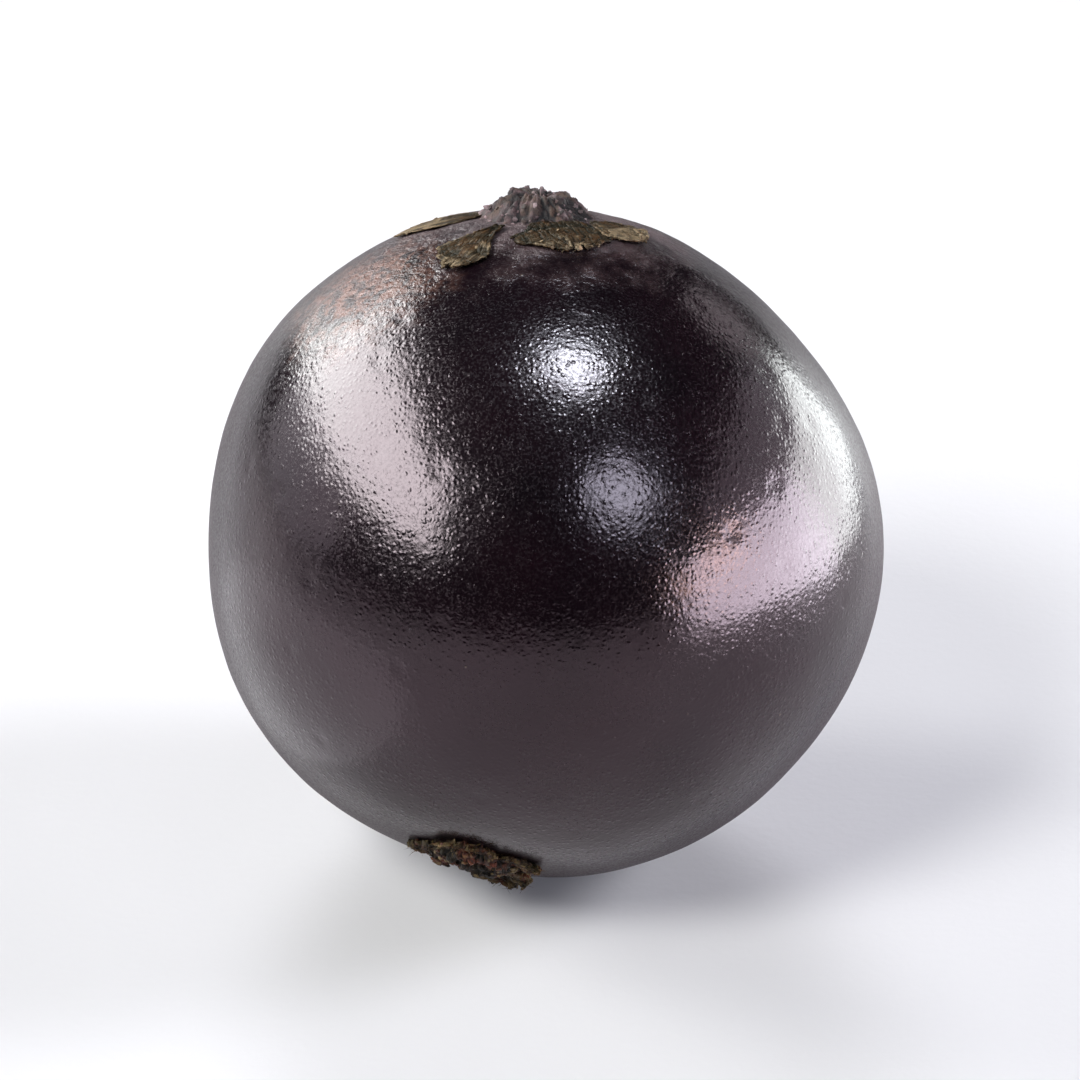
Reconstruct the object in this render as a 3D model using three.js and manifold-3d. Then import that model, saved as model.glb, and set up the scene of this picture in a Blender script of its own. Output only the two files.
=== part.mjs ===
// A ripe jaboticaba, as picked, resting on a small flat spot.
// The fruit is one solid berry. On it sit the dry remains of stalk and flower: a woody stem stub with four
// bract scales at the stem end, and a crumbled calyx ring with four sepals at the blossom end.
// Millimetres. +Z is up, the fruit rests on z = 0, and its blossom end faces -Y.
import * as THREE from "three";
import { mergeVertices } from "three/addons/utils/BufferGeometryUtils.js";
import Module from "manifold-3d";

const wasm = await Module();
wasm.setup();

// ---------------------------------------------------------------- driving dimensions
const FRUIT_DIAMETER = 25;
const REST_SPOT_DIAMETER = 4.4; // the small flat that the ripe fruit settles on
const SEAT_GAP = 0.3; // between the skin and a dry piece that sits on it

const FRUIT_RADIUS = FRUIT_DIAMETER / 2;

// Where the two ends of the fruit look, in degrees. Azimuth 0 faces -Y and turns towards +X.
const STEM_END = direction({ azimuth: 180, elevation: 71 });
const BLOSSOM_END = direction({ azimuth: -16.5, elevation: -45.5 });

// Broad swells (height above 0) and flats (below 0) that make the berry less than a perfect ball.
const SWELLS = [
  { towards: STEM_END, height: 0.05, breadth: 24 }, // shoulder under the stub
  { towards: STEM_END, height: -0.25, breadth: 13 }, // shallow seat of the stub
  { towards: BLOSSOM_END, height: -0.4, breadth: 12 }, // shallow seat of the calyx
  { towards: direction({ azimuth: 90, elevation: 0 }), height: 0.28, breadth: 28 },
  { towards: direction({ azimuth: 112, elevation: 38 }), height: -0.36, breadth: 30 },
  { towards: direction({ azimuth: -103, elevation: 33 }), height: 0.12, breadth: 26 },
  { towards: direction({ azimuth: -85, elevation: 8 }), height: -0.3, breadth: 22 },
  { towards: direction({ azimuth: -40, elevation: -50 }), height: -0.2, breadth: 20 },
  { towards: direction({ azimuth: 10, elevation: 20 }), height: 0.15, breadth: 35 },
];

// The woody stub of the fruit's very short stalk, with a dimpled scar on top.
const STUB = { radius: 2.4, topRadius: 1.15, height: 0.8, scarRadius: 0.6, scarDepth: 0.25, ragged: 0.035 };
// Its flank, as shares of its radius and its height.
const STUB_FLANK = { footRadius: 0.93, footHeight: 0.3, middleHeight: 0.62, brimHeight: 0.96 };

// The calyx ring: what is left of the flower's cup, a crusty rim round a brown scar.
const RING = { innerRadius: 0.8, outerRadius: 1.45, height: 0.45, ragged: 0.03 };
// How high its rim stands across its width, as shares of its height.
const RING_RIM = { outer: 0.55, middle: 0.9, inner: 0.6 };

// Waves round a dry rim that make it ragged: how many, how deep against the others, and where they start.
const RAGGED_WAVES = [
  { lobes: 3, depth: 1, start: 0.6 },
  { lobes: 7, depth: 0.7, start: 2 },
  { lobes: 11, depth: 0.4, start: 0 },
];
// How unevenly high a dry rim stands, as a share of its height.
const WARP = { lobes: 2, depth: 0.12, start: 1 };

// Dry scales. Each starts `from` its end's pole and lies outwards, at `turn` degrees round the pole,
// clockwise as seen from outside. At the stem end turn 0 is towards -Y, at the blossom end it is upwards.
const BRACTS = {
  bract_front: { turn: -14, from: 2.85, length: 1.8, width: 2.5, thickness: 0.26, curl: 0.1 },
  bract_right: { turn: -54, from: 2.9, length: 2.1, width: 1.7, thickness: 0.26, curl: 0.25 },
  bract_front_left: { turn: 34, from: 3.5, length: 2.6, width: 1.9, thickness: 0.24, curl: 0.2 },
  bract_left: { turn: 95, from: 2.9, length: 2.9, width: 1.6, thickness: 0.24, curl: 0.3 },
};
const SEPALS = {
  sepal_upper: { turn: 0, from: 1.8, length: 0.8, width: 1.5, thickness: 0.3, curl: 0.3 },
  sepal_right: { turn: 88, from: 1.8, length: 1, width: 1.3, thickness: 0.3, curl: 0.25 },
  sepal_lower: { turn: 184, from: 1.8, length: 0.7, width: 1.4, thickness: 0.3, curl: 0.3 },
  sepal_left: { turn: -84, from: 1.8, length: 0.8, width: 1.5, thickness: 0.3, curl: 0.35 },
};
const SCALE_TIP = 0.16; // a scale's width at its two ends, as a share of its full width
const SCALE_BELLY = 0.7; // below 1 a scale is widest before its middle
const SCALE_EDGE = 0.65; // a scale's thickness along its edges, as a share of its thickness in the middle

// How finely the surfaces are cut.
const SKIN_CUTS = 15; // along each edge of the icosahedron that the skin starts from
const STUB_SIDES = 40;
const RING_SIDES = 36;
const SCALE_CUTS = { across: 6, along: 8 };

// ---------------------------------------------------------------- materials
const skin = new THREE.MeshStandardMaterial({ color: 0x1a0f17, roughness: 0.22, metalness: 0 });
const bark = new THREE.MeshStandardMaterial({ color: 0x5a4a41, roughness: 0.85, metalness: 0 });
const paperyScale = new THREE.MeshStandardMaterial({ color: 0x6b5a3a, roughness: 0.8, metalness: 0 });
const driedFlower = new THREE.MeshStandardMaterial({ color: 0x33231b, roughness: 0.85, metalness: 0 });

// ---------------------------------------------------------------- the shape of the skin
function direction({ azimuth, elevation }) {
  const round = THREE.MathUtils.degToRad(azimuth);
  const up = THREE.MathUtils.degToRad(elevation);
  return new THREE.Vector3(
    Math.sin(round) * Math.cos(up),
    -Math.cos(round) * Math.cos(up),
    Math.sin(up),
  );
}

// Distance from the fruit's centre to its skin, along a unit vector. Each swell is a bell-shaped hill.
function skinRadius(towards) {
  return SWELLS.reduce((radius, swell) => {
    const apart = THREE.MathUtils.radToDeg(towards.angleTo(swell.towards));
    return radius + swell.height * Math.exp(-((apart / swell.breadth) ** 2));
  }, FRUIT_RADIUS);
}

// The flat spot is where the table's plane cuts the berry in a circle as wide as the spot.
const DOWN = new THREE.Vector3(0, 0, -1);
const CENTRE_HEIGHT = Math.sqrt(skinRadius(DOWN) ** 2 - (REST_SPOT_DIAMETER / 2) ** 2);

// ---------------------------------------------------------------- solids
function eachVertex(geometry, move) {
  const places = geometry.getAttribute("position");
  const place = new THREE.Vector3();
  for (let i = 0; i < places.count; i++) {
    place.fromBufferAttribute(places, i);
    move(place);
    places.setXYZ(i, place.x, place.y, place.z);
  }
  return geometry;
}

// The same geometry with its seams closed and fresh normals.
function closed(geometry) {
  geometry.deleteAttribute("normal");
  geometry.deleteAttribute("uv");
  const merged = mergeVertices(geometry);
  merged.computeVertexNormals();
  return merged;
}

function toManifold(geometry) {
  const merged = closed(geometry);
  return new wasm.Manifold(
    new wasm.Mesh({
      numProp: 3,
      vertProperties: merged.getAttribute("position").array,
      triVerts: new Uint32Array(merged.index.array),
    }),
  );
}

function fromManifold(solid) {
  const { vertProperties, triVerts } = solid.getMesh();
  const geometry = new THREE.BufferGeometry();
  geometry.setAttribute("position", new THREE.BufferAttribute(vertProperties, 3));
  geometry.setIndex(new THREE.BufferAttribute(triVerts, 1));
  geometry.computeVertexNormals();
  return geometry;
}

// ---------------------------------------------------------------- the berry
function berryGeometry() {
  const ball = eachVertex(new THREE.IcosahedronGeometry(1, SKIN_CUTS), (place) => {
    place.normalize();
    place.multiplyScalar(skinRadius(place));
  });
  const belowRestSpot = new THREE.BoxGeometry(FRUIT_DIAMETER, FRUIT_DIAMETER, FRUIT_DIAMETER);
  belowRestSpot.translate(0, 0, -CENTRE_HEIGHT - FRUIT_DIAMETER / 2);
  return fromManifold(toManifold(ball).subtract(toManifold(belowRestSpot)));
}

// ---------------------------------------------------------------- dry pieces, modelled flat
// x and y run over the skin and z is the height above the piece's seat.

// A lathe turned on +Z, with an uneven rim.
function raggedLathe(outline, sides, depth) {
  const points = outline.map(([across, up]) => new THREE.Vector2(across, up));
  const turned = new THREE.LatheGeometry(points, sides);
  turned.rotateX(Math.PI / 2);
  return eachVertex(turned, (place) => {
    const round = Math.atan2(place.y, place.x);
    const ragged = RAGGED_WAVES.reduce(
      (size, wave) => size + depth * wave.depth * Math.sin(wave.lobes * round + wave.start),
      1,
    );
    place.x *= ragged;
    place.y *= ragged;
    place.z *= 1 + WARP.depth * Math.sin(WARP.lobes * round + WARP.start);
  });
}

function stubGeometry() {
  const { radius, topRadius, height, scarRadius, scarDepth, ragged } = STUB;
  const { footRadius, footHeight, middleHeight, brimHeight } = STUB_FLANK;
  const outline = [
    [0, 0],
    [radius / 2, 0],
    [radius, 0],
    [radius * footRadius, height * footHeight],
    [(radius + topRadius) / 2, height * middleHeight],
    [topRadius, height * brimHeight],
    [(topRadius + scarRadius) / 2, height],
    [scarRadius, height - scarDepth / 2],
    [scarRadius / 2, height - scarDepth],
    [0, height - scarDepth],
  ];
  return raggedLathe(outline, STUB_SIDES, ragged);
}

function ringGeometry() {
  const { innerRadius, outerRadius, height, ragged } = RING;
  const middle = (innerRadius + outerRadius) / 2;
  const section = [
    [innerRadius, 0],
    [outerRadius, 0],
    [outerRadius, height * RING_RIM.outer],
    [(middle + outerRadius) / 2, height],
    [middle, height * RING_RIM.middle],
    [innerRadius, height * RING_RIM.inner],
    [innerRadius, 0],
  ];
  return raggedLathe(section, RING_SIDES, ragged);
}

// A leaf-shaped scale that starts at y = 0, thins towards its edges and curls up at its tip.
function scaleGeometry({ length, width, thickness, curl }) {
  const slab = new THREE.BoxGeometry(1, 1, 1, SCALE_CUTS.across, SCALE_CUTS.along, 1);
  return eachVertex(slab, (place) => {
    const along = place.y + 0.5;
    const across = 2 * place.x;
    const leaf = SCALE_TIP + (1 - SCALE_TIP) * Math.sin(Math.PI * along ** SCALE_BELLY);
    const thick = thickness * (1 - (1 - SCALE_EDGE) * across ** 2);
    place.x = (across * leaf * width) / 2;
    place.y = along * length;
    place.z = curl * along ** 2 + thick * (place.z + 0.5);
  });
}

// ---------------------------------------------------------------- laying a flat piece on the skin
// `placed` turns the piece's own +Z to its place on the fruit.
function laidOnSkin(flat, placed) {
  const towards = new THREE.Vector3();
  const laid = eachVertex(flat, (place) => {
    const lift = SEAT_GAP + place.z;
    place.z = FRUIT_RADIUS;
    place.normalize();
    towards.copy(place).applyQuaternion(placed);
    place.multiplyScalar(skinRadius(towards) + lift);
  });
  return closed(laid);
}

// ---------------------------------------------------------------- assembly
const jaboticaba = new THREE.Group();
jaboticaba.position.z = CENTRE_HEIGHT;

function add(parent, name, geometry, material) {
  const mesh = new THREE.Mesh(geometry, material);
  mesh.name = name;
  parent.add(mesh);
  return mesh;
}

// A group whose +Z leaves the fruit at one end and whose +Y lies over the skin towards `ahead`.
function endGroup(outwards, ahead) {
  const end = new THREE.Group();
  const forward = ahead.clone().projectOnPlane(outwards).normalize();
  const side = new THREE.Vector3().crossVectors(forward, outwards);
  end.quaternion.setFromRotationMatrix(new THREE.Matrix4().makeBasis(side, forward, outwards));
  jaboticaba.add(end);
  return end;
}

// A scale is turned round its end's pole and tipped down the skin to where it starts.
function addScale(end, name, scale, material) {
  const turned = new THREE.Quaternion();
  turned.setFromAxisAngle(new THREE.Vector3(0, 0, 1), -THREE.MathUtils.degToRad(scale.turn));
  const tipped = new THREE.Quaternion();
  tipped.setFromAxisAngle(new THREE.Vector3(1, 0, 0), -scale.from / FRUIT_RADIUS);
  const onEnd = turned.multiply(tipped);
  const onFruit = end.quaternion.clone().multiply(onEnd);
  const mesh = add(end, name, laidOnSkin(scaleGeometry(scale), onFruit), material);
  mesh.quaternion.copy(onEnd);
}

add(jaboticaba, "fruit", berryGeometry(), skin);

const stemEnd = endGroup(STEM_END, new THREE.Vector3(0, -1, 0));
add(stemEnd, "stem_stub", laidOnSkin(stubGeometry(), stemEnd.quaternion), bark);
for (const [name, bract] of Object.entries(BRACTS)) {
  addScale(stemEnd, name, bract, paperyScale);
}

const blossomEnd = endGroup(BLOSSOM_END, new THREE.Vector3(0, 0, 1));
add(blossomEnd, "calyx_ring", laidOnSkin(ringGeometry(), blossomEnd.quaternion), driedFlower);
for (const [name, sepal] of Object.entries(SEPALS)) {
  addScale(blossomEnd, name, sepal, driedFlower);
}

export default jaboticaba;
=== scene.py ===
# %% [markdown]
# # A ripe jaboticaba
# A jaboticaba is a berry that grows straight on the trunk of its tree. It is as big as a large grape, and its
# skin is glossy and nearly black. On the berry sit the dry remains of the stalk and the flower: a woody stub
# with papery scales at the stem end, and a crumbled calyx ring at the blossom end.
#
# The construction is already made. This lesson loads it as a frame of real size, in metres, replaces each
# plain piece with a finely shaped one in the same place, and gives it its finish.

# %% Load the frame
import math

import bpy
from mathutils import Matrix, Vector


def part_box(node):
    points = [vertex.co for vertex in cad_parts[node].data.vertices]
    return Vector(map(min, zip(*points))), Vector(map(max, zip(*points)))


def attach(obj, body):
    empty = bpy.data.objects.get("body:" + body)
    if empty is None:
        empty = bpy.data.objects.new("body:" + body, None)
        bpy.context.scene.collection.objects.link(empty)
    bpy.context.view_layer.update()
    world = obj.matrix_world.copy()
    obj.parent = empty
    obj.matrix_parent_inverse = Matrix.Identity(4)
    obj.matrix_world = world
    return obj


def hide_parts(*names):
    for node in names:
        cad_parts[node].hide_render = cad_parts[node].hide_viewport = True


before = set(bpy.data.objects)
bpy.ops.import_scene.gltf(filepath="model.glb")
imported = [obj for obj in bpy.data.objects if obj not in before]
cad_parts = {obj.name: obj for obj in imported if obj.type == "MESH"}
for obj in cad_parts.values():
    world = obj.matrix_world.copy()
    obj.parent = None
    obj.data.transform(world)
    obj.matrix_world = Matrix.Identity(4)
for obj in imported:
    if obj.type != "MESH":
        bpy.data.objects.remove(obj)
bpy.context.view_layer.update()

print("nodes in the frame:", sorted(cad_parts))

MM = 0.001  # lengths below are written in millimetres and turned into metres here
PER_MM = 1 / MM  # the scale of a pattern that repeats once in a millimetre

# %% [markdown]
# ## The camera
# A fruit on a table is mostly seen from a little above. A short lens close by would swell its middle, while a
# long lens far away keeps a round thing round. So the camera stands well back with a long lens and looks down
# at thirty degrees, straight at the middle of the fruit.

# %% Camera
CAMERA_ELEVATION = math.radians(30)
CAMERA_DISTANCE = 350 * MM
FRAME_WIDTH = 40 * MM  # how much the camera takes in at the fruit


def make_camera(aim):
    data = bpy.data.cameras.new("camera")
    data.lens = data.sensor_width * CAMERA_DISTANCE / FRAME_WIDTH
    data.clip_start = 0.01
    data.clip_end = 10
    camera = bpy.data.objects.new("camera", data)
    bpy.context.scene.collection.objects.link(camera)
    back = Vector((0, -math.cos(CAMERA_ELEVATION), math.sin(CAMERA_ELEVATION)))
    camera.location = aim + back * CAMERA_DISTANCE
    camera.rotation_euler = (-back).to_track_quat("-Z", "Y").to_euler()
    bpy.context.scene.camera = camera
    print("lens in millimetres:", round(data.lens))


fruit_low, fruit_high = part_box("fruit")
make_camera(aim=Vector((0, 0, fruit_high.z / 2)))

# %% [markdown]
# ## The rule behind the berry's shape
# No fruit is a perfect ball. This one has a low shoulder under its stub, a shallow seat at each end, and a
# few broad swells and flats where it grew against the trunk and its neighbours. They could be sculpted by
# hand, but then nothing else would know where the skin is. So each of them is one line here: where on the
# fruit it is, how high it stands or how deep it dips, and how many degrees it spreads. One function then
# says how far the skin is from the middle in any direction. The berry is made from it, and so is everything
# that has to lie on the berry.

# %% Swells and flats
BERRY_RADIUS = 12.5 * MM
REST_SPOT_RADIUS = 2.2 * MM


def direction(azimuth, elevation):
    """A unit vector. Azimuth 0 faces the viewer and turns towards the right."""
    turn, up = math.radians(azimuth), math.radians(elevation)
    return Vector((math.sin(turn) * math.cos(up), -math.cos(turn) * math.cos(up), math.sin(up)))


STEM_END = direction(180, 71)
BLOSSOM_END = direction(-16.5, -45.5)

SWELLS = [
    (STEM_END, 0.05 * MM, 24),
    (STEM_END, -0.25 * MM, 13),
    (BLOSSOM_END, -0.4 * MM, 12),
    (direction(90, 0), 0.28 * MM, 28),
    (direction(112, 38), -0.36 * MM, 30),
    (direction(-103, 33), 0.12 * MM, 26),
    (direction(-85, 8), -0.3 * MM, 22),
    (direction(-40, -50), -0.2 * MM, 20),
    (direction(10, 20), 0.15 * MM, 35),
]


def skin_radius(towards):
    """How far the skin is from the berry's middle, along a unit vector."""
    radius = BERRY_RADIUS
    for centre, height, breadth in SWELLS:
        apart = math.degrees(math.acos(max(-1, min(1, towards.dot(centre)))))
        radius += height * math.exp(-((apart / breadth) ** 2))
    return radius


middle_height = math.sqrt(skin_radius(Vector((0, 0, -1))) ** 2 - REST_SPOT_RADIUS**2)
berry_middle = Vector((0, 0, middle_height))
print("the berry's middle is", round(middle_height / MM, 2), "mm up")

# %% [markdown]
# ## Helpers for node trees
# Shaders and geometry are both built from nodes. Written out one by one, a node takes four or five lines:
# make it, set it up, and link each socket. One helper does that in a single call, so that a tree reads like
# a list of steps. A value that is itself a socket is linked, and any other value is set. A socket knows its
# tree, so a node that follows others finds the tree by itself.

# %% Adding and linking nodes
def is_socket(value):
    return isinstance(value, bpy.types.NodeSocket)


def put(socket, value):
    """Links a value that is a socket, and sets any other."""
    if is_socket(value):
        socket.id_data.links.new(value, socket)
    else:
        socket.default_value = value


def add(tree, kind, inputs=None, **settings):
    """Adds a node, sets its properties, then links or sets its inputs by name or number."""
    node = tree.nodes.new(kind)
    for name, value in settings.items():
        setattr(node, name, value)
    for name, value in (inputs or {}).items():
        put(node.inputs[name], value)
    return node


def after(kind, inputs, output=0, **settings):
    """Adds a node to the tree that its inputs come from, and gives one of its outputs."""
    tree = next(value.id_data for value in inputs.values() if is_socket(value))
    return add(tree, kind, inputs, **settings).outputs[output]


# %% Sums with numbers
def maths(operation, *values):
    """The result of one Math node."""
    return after("ShaderNodeMath", dict(enumerate(values)), operation=operation)


def plus(total, *others):
    for other in others:
        total = maths("ADD", total, other)
    return total


def minus(first, second):
    return maths("SUBTRACT", first, second)


def times(product, *others):
    for other in others:
        product = maths("MULTIPLY", product, other)
    return product


# %% Sums with vectors
def vector_maths(operation, *values):
    """The result of one Vector Math node. A dot product, length or distance is a number."""
    output = "Value" if operation in {"DOT_PRODUCT", "LENGTH", "DISTANCE"} else "Vector"
    return after("ShaderNodeVectorMath", dict(enumerate(values)), output, operation=operation)


def scaled(vector, share):
    """A vector made longer or shorter."""
    return after("ShaderNodeVectorMath", {0: vector, "Scale": share}, operation="SCALE")


def parts(vector):
    """The X, Y and Z of a vector."""
    return list(add(vector.id_data, "ShaderNodeSeparateXYZ", {0: vector}).outputs)


def vector_of(x=0.0, y=0.0, z=0.0):
    return after("ShaderNodeCombineXYZ", {"X": x, "Y": y, "Z": z})


# %% Masks and cloudy patterns
def falling(value, near, far):
    """A smooth mask: 1 up to near, 0 beyond far. With near above far it rises instead."""
    limits = {"Value": value, "From Min": near, "From Max": far, "To Min": 1.0, "To Max": 0.0}
    return after("ShaderNodeMapRange", limits, interpolation_type="SMOOTHSTEP")


def noise_at(place, scale, detail=2.0, roughness=0.5):
    """A cloudy pattern between 0 and 1."""
    inputs = {"Vector": place, "Scale": scale, "Detail": detail, "Roughness": roughness}
    return after("ShaderNodeTexNoise", inputs)


def centred_noise(place, scale, detail=2.0, roughness=0.5):
    """A cloudy pattern that swings about nought, from about -0.5 to 0.5."""
    return minus(noise_at(place, scale, detail, roughness), 0.5)


# %% Groups and trees
NUMBER, WHOLE, ARROW = "NodeSocketFloat", "NodeSocketInt", "NodeSocketVector"
SOLID, FINISH = "NodeSocketGeometry", "NodeSocketMaterial"


def new_tree(kind, name, inputs, output, output_type):
    """A tree with named inputs and one output. An input is given as its first value or as its socket type."""
    tree = bpy.data.node_groups.new(name, kind)
    for title, given in inputs.items():
        socket_type = {float: NUMBER, int: WHOLE}.get(type(given), given)
        socket = tree.interface.new_socket(title, in_out="INPUT", socket_type=socket_type)
        if socket_type is not given:
            socket.default_value = given
    tree.interface.new_socket(output, in_out="OUTPUT", socket_type=output_type)
    print("tree:", name, "takes", ", ".join(inputs))
    return tree, tree.nodes.new("NodeGroupInput").outputs, tree.nodes.new("NodeGroupOutput").inputs[0]


def new_effect(name, inputs, output):
    """A shared shader effect, which gives one number."""
    return new_tree("ShaderNodeTree", name, inputs, output, NUMBER)


def new_shape(name, inputs, output="Geometry", output_type=SOLID):
    """A geometry tree."""
    return new_tree("GeometryNodeTree", name, inputs, output, output_type)


def give(output, value):
    """Links the result to the tree's output and hands the finished tree back."""
    put(output, value)
    return output.id_data


def use(group, values):
    """One of the shared groups, placed with its own values."""
    kind = "ShaderNodeGroup" if group.type == "SHADER" else "GeometryNodeGroup"
    return after(kind, values, node_tree=group)


# %% Helpers for geometry
def here(tree):
    """The position of the point that is being worked on."""
    return add(tree, "GeometryNodeInputPosition").outputs[0]


def moved(geometry, **where):
    """The geometry with each point at a new Position, or shifted by an Offset."""
    return after("GeometryNodeSetPosition", {"Geometry": geometry, **where})


def shaded(geometry, smooth=True):
    return after("GeometryNodeSetShadeSmooth", {"Geometry": geometry, "Shade Smooth": smooth})


def realized(geometry):
    """Instances made real, because an export drops them otherwise."""
    return after("GeometryNodeRealizeInstances", {"Geometry": geometry})


def finish_solid(output, geometry, material):
    """The end of a geometry tree: real instances, and the material."""
    solid = {"Geometry": realized(geometry), "Material": material}
    return give(output, after("GeometryNodeSetMaterial", solid))


# %% Grow a piece
def grow(name, tree, values):
    """Runs a geometry tree once and keeps the result as a plain mesh object at the origin."""
    piece = bpy.data.objects.new(name, bpy.data.meshes.new(name))
    bpy.context.scene.collection.objects.link(piece)
    modifier = piece.modifiers.new("grow", "NODES")
    modifier.node_group = tree
    identifiers = {item.name: item.identifier for item in tree.interface.items_tree if item.in_out == "INPUT"}
    for title, value in values.items():
        modifier[identifiers[title]] = value
    evaluated = piece.evaluated_get(bpy.context.evaluated_depsgraph_get())
    grown = bpy.data.meshes.new_from_object(evaluated)
    piece.modifiers.clear()
    piece.data = grown
    grown.name = name
    print(name, "has", sum(len(face.vertices) - 2 for face in grown.polygons), "triangles")
    return piece


# %% [markdown]
# ## Shared effects for the finishes
# An effect could be written out wherever it is wanted, but then each change has to be made everywhere. So
# these four are groups, built once and placed with their own values.
#
# - *Near a spot* is a mask: 1 at a point of the fruit, 0 beyond a reach, with a ragged edge. It marks the
#   dull skin round the stub, the rubbed shoulder and the brown scar inside the calyx.
# - *Pebble grain* is the height of the skin: tiny separate pebbles that stand on gentle waves.
# - *Specks* are small round dots at random places, for the pale pores of the skin.
# - *Dry fibres* are streaks that run one way, for all the dry pieces.

# %% Near a spot
def near_a_spot():
    edge = {"Softness": 0.5, "Raggedness": 0.5, "Ragged Scale": 1000.0}
    inputs = {"Position": ARROW, "Spot": ARROW, "Reach": 1.0, **edge}
    group, given, output = new_effect("Near a spot", inputs, "Mask")
    ragged = centred_noise(given["Position"], given["Ragged Scale"], 4.0, 0.6)
    away = vector_maths("DISTANCE", given["Position"], given["Spot"])
    share = maths("DIVIDE", away, given["Reach"])
    share = plus(share, times(ragged, given["Raggedness"]))
    return give(output, falling(share, minus(1.0, given["Softness"]), 1.0))


NEAR_A_SPOT = near_a_spot()


# %% Pebble grain
def pebble_grain():
    inputs = {"Position": ARROW, "Cell Scale": 4000.0, "Pebble Size": 0.45, "Wave Share": 0.5}
    group, given, output = new_effect("Pebble grain", inputs, "Height")
    position, scale = given["Position"], given["Cell Scale"]
    warp = after("ShaderNodeTexNoise", {"Vector": position, "Scale": scale, "Detail": 1.0}, "Color")
    shift = vector_maths("SUBTRACT", warp, (0.5, 0.5, 0.5))
    place = vector_maths("ADD", position, scaled(shift, maths("DIVIDE", 0.5, scale)))
    cells = add(group, "ShaderNodeTexVoronoi", {"Vector": place, "Scale": scale}, feature="F1").outputs
    pebble = falling(cells["Distance"], 0.0, given["Pebble Size"])
    chance = after("ShaderNodeSeparateColor", {"Color": cells["Color"]})
    waves = noise_at(position, times(scale, 0.6), 3.0, 0.55)
    height = times(pebble, plus(chance, 0.1))
    return give(output, plus(height, times(waves, given["Wave Share"])))


PEBBLE_GRAIN = pebble_grain()


# %% Specks
def specks():
    inputs = {"Position": ARROW, "Scale": 1000.0, "Size": 0.2, "Share": 0.5}
    group, given, output = new_effect("Specks", inputs, "Mask")
    spread = {"Vector": given["Position"], "Scale": given["Scale"]}
    cells = add(group, "ShaderNodeTexVoronoi", spread, feature="F1").outputs
    chance = add(group, "ShaderNodeSeparateColor", {"Color": cells["Color"]}).outputs
    kept = maths("LESS_THAN", chance[0], given["Share"])
    size = times(given["Size"], plus(chance[1], 0.4))
    return give(output, times(falling(cells["Distance"], 0.0, size), kept))


SPECKS = specks()


# %% Dry fibres
def dry_fibres():
    inputs = {"Position": ARROW, "Along": ARROW, "Scale": 4000.0, "Stretch": 6.0}
    group, given, output = new_effect("Dry fibres", inputs, "Streak")
    along = vector_maths("DOT_PRODUCT", given["Position"], given["Along"])
    squeeze = minus(maths("DIVIDE", 1.0, given["Stretch"]), 1.0)
    change = scaled(given["Along"], times(along, squeeze))
    place = vector_maths("ADD", given["Position"], change)
    return give(output, noise_at(place, given["Scale"], 3.0, 0.65))


DRY_FIBRES = dry_fibres()

# %% [markdown]
# ## The finish of the skin
# The skin is almost black, with a breath of purple and maroon that only shows where strong light falls on it.
# What makes it look real is the way it shines. The waxy skin is smooth, so a lamp shows in it almost as in a
# mirror. Gentle waves and thousands of tiny pebbles break the edge of every highlight up into sparkle, fine
# dull spots in the wax lay a haze round it, and seen edge-on the wax is matt. Round the stub the wax is worn
# off and the skin turns dull and mauve; the mauve is partly its own colour and partly a painted sheen of
# light on its wrinkles. One shoulder is rubbed to corky tan, and the scar inside the calyx is dry and brown.
#
# All this could be painted on, but paint blurs close up and shows its seams. So it is made of noise and
# masks, and each mask changes colour, roughness and relief together.

# %% Helpers for materials
def new_material(name):
    """An empty material with its Principled shader, and the place on the object as a socket."""
    material = bpy.data.materials.new(name)
    material.use_nodes = True
    tree = material.node_tree
    tree.nodes.clear()
    shader = add(tree, "ShaderNodeBsdfPrincipled")
    add(tree, "ShaderNodeOutputMaterial", {"Surface": shader.outputs[0]})
    print("material:", name)
    return material, tree, shader, add(tree, "ShaderNodeTexCoord").outputs["Object"]


def mix(share, *colours):
    """Two colours mixed by a mask."""
    first, second = [colour if is_socket(colour) else (*colour, 1.0) for colour in colours]
    return after("ShaderNodeMix", {"Factor": share, 6: first, 7: second}, 2, data_type="RGBA")


def blend_number(share, first, second):
    """A number that goes from first to second as the mask goes from 0 to 1."""
    return after("ShaderNodeMapRange", {"Value": share, "To Min": first, "To Max": second})


def bump(height, depth, **below):
    """Turns a height between 0 and 1 into a bent Normal. The depth is the real depth in metres."""
    return after("ShaderNodeBump", {"Height": height, "Strength": 1.0, "Distance": depth, **below})


# %% Where the skin is worn
WORN_SPOTS = {
    # name: (middle; reach in millimetres, softness, raggedness, and the scale of the ragged edge)
    "stem": (STEM_END, 7.2, 0.75, 1.2, 700.0),
    "scar": (BLOSSOM_END, 2.1, 0.3, 0.5, 1500.0),
    "rubbed": (direction(-90, 59), 4.4, 0.85, 0.8, 600.0),
}


def worn_spot(place, towards, reach, *edge):
    spot = berry_middle + towards * skin_radius(towards)
    edge = dict(zip(("Softness", "Raggedness", "Ragged Scale"), edge))
    return use(NEAR_A_SPOT, {"Position": place, "Spot": spot, "Reach": reach * MM, **edge})


# %% The skin's colours
NEAR_BLACK = (0.0020, 0.0011, 0.0018)
MAROON = (0.0050, 0.0017, 0.0030)
MAUVE_AND_SHEEN = (0.080, 0.043, 0.046)
TAN = (0.110, 0.046, 0.034)
PALE_PORE = (0.10, 0.075, 0.065)
SCAR_BROWN = (0.10, 0.032, 0.014)
SCAR_DARK = (0.018, 0.009, 0.006)


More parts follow.
